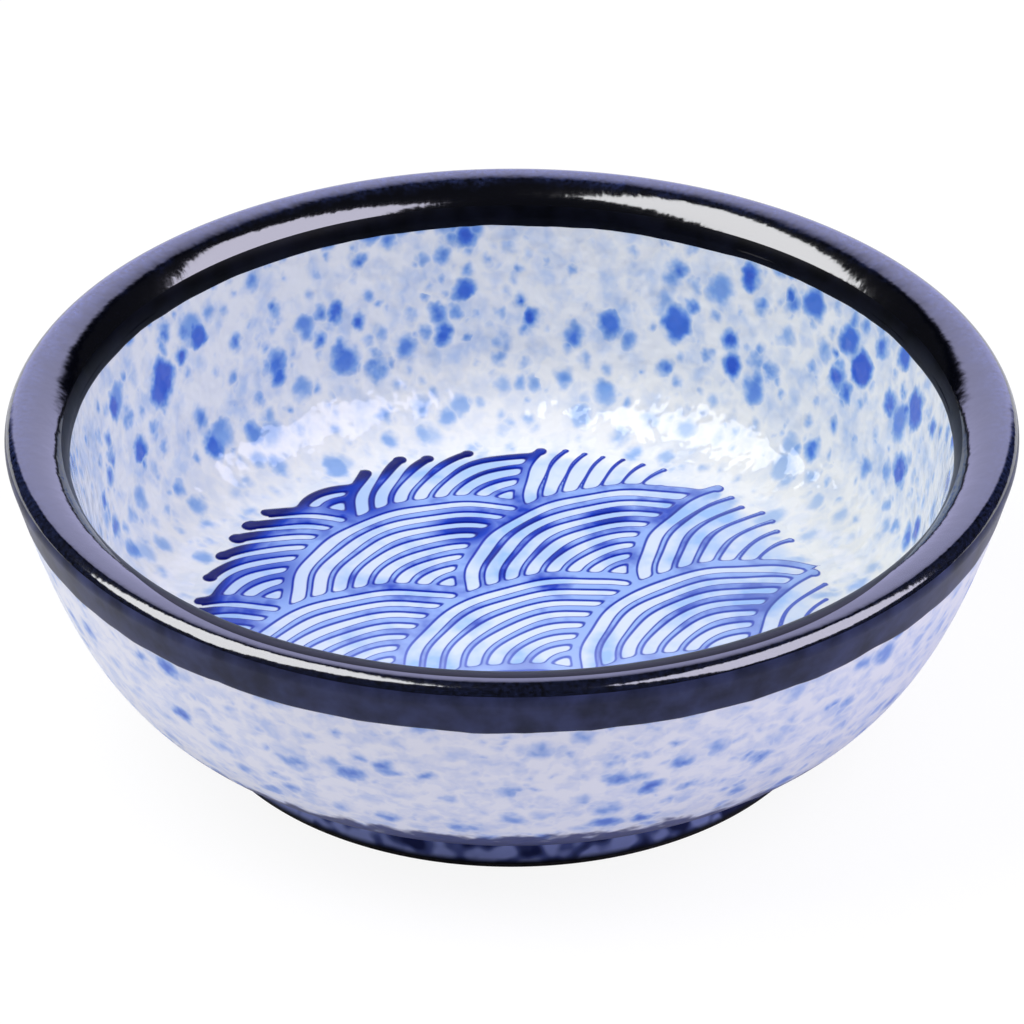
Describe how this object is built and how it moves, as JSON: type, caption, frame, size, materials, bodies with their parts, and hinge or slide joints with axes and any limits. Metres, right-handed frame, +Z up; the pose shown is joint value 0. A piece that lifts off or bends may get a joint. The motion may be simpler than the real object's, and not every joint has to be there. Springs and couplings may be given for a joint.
{
  "type": "soy sauce dish",
  "caption": "Small round glazed stoneware dish on a foot ring, with a dark rim, blue speckled sides and a raised wave pattern on its floor, for holding dipping sauce.",
  "frame": {"origin": "middle of the plane that the foot ring rests on", "axes": "+Z up along the dish's turning axis, -Y towards the viewer of the picture, +X to the viewer's right"},
  "size_m": [0.096, 0.096, 0.0315],
  "materials": {
    "stoneware": "fired clay body, hidden under the glaze",
    "bare_clay": "bare fired clay, wiped clean of glaze where the dish stands",
    "speckled_glaze": "glossy bluish white glaze with soft cobalt speckles",
    "rim_glaze": "glossy blue-black glaze that breaks brown on the tight edge",
    "foot_glaze": "mottled navy glaze pooled on the foot",
    "cobalt_strokes": "cobalt wash with dark outlines under clear glaze"
  },
  "bodies": {
    "root": {"clay_bowl": "stoneware", "foot_ring": "bare_clay", "inner_glaze": "speckled_glaze", "outer_glaze": "speckled_glaze", "rim_glaze": "rim_glaze", "foot_glaze": "foot_glaze", "base_glaze": "speckled_glaze", "wave_medallion": "cobalt_strokes"}
  },
  "joints": []
}
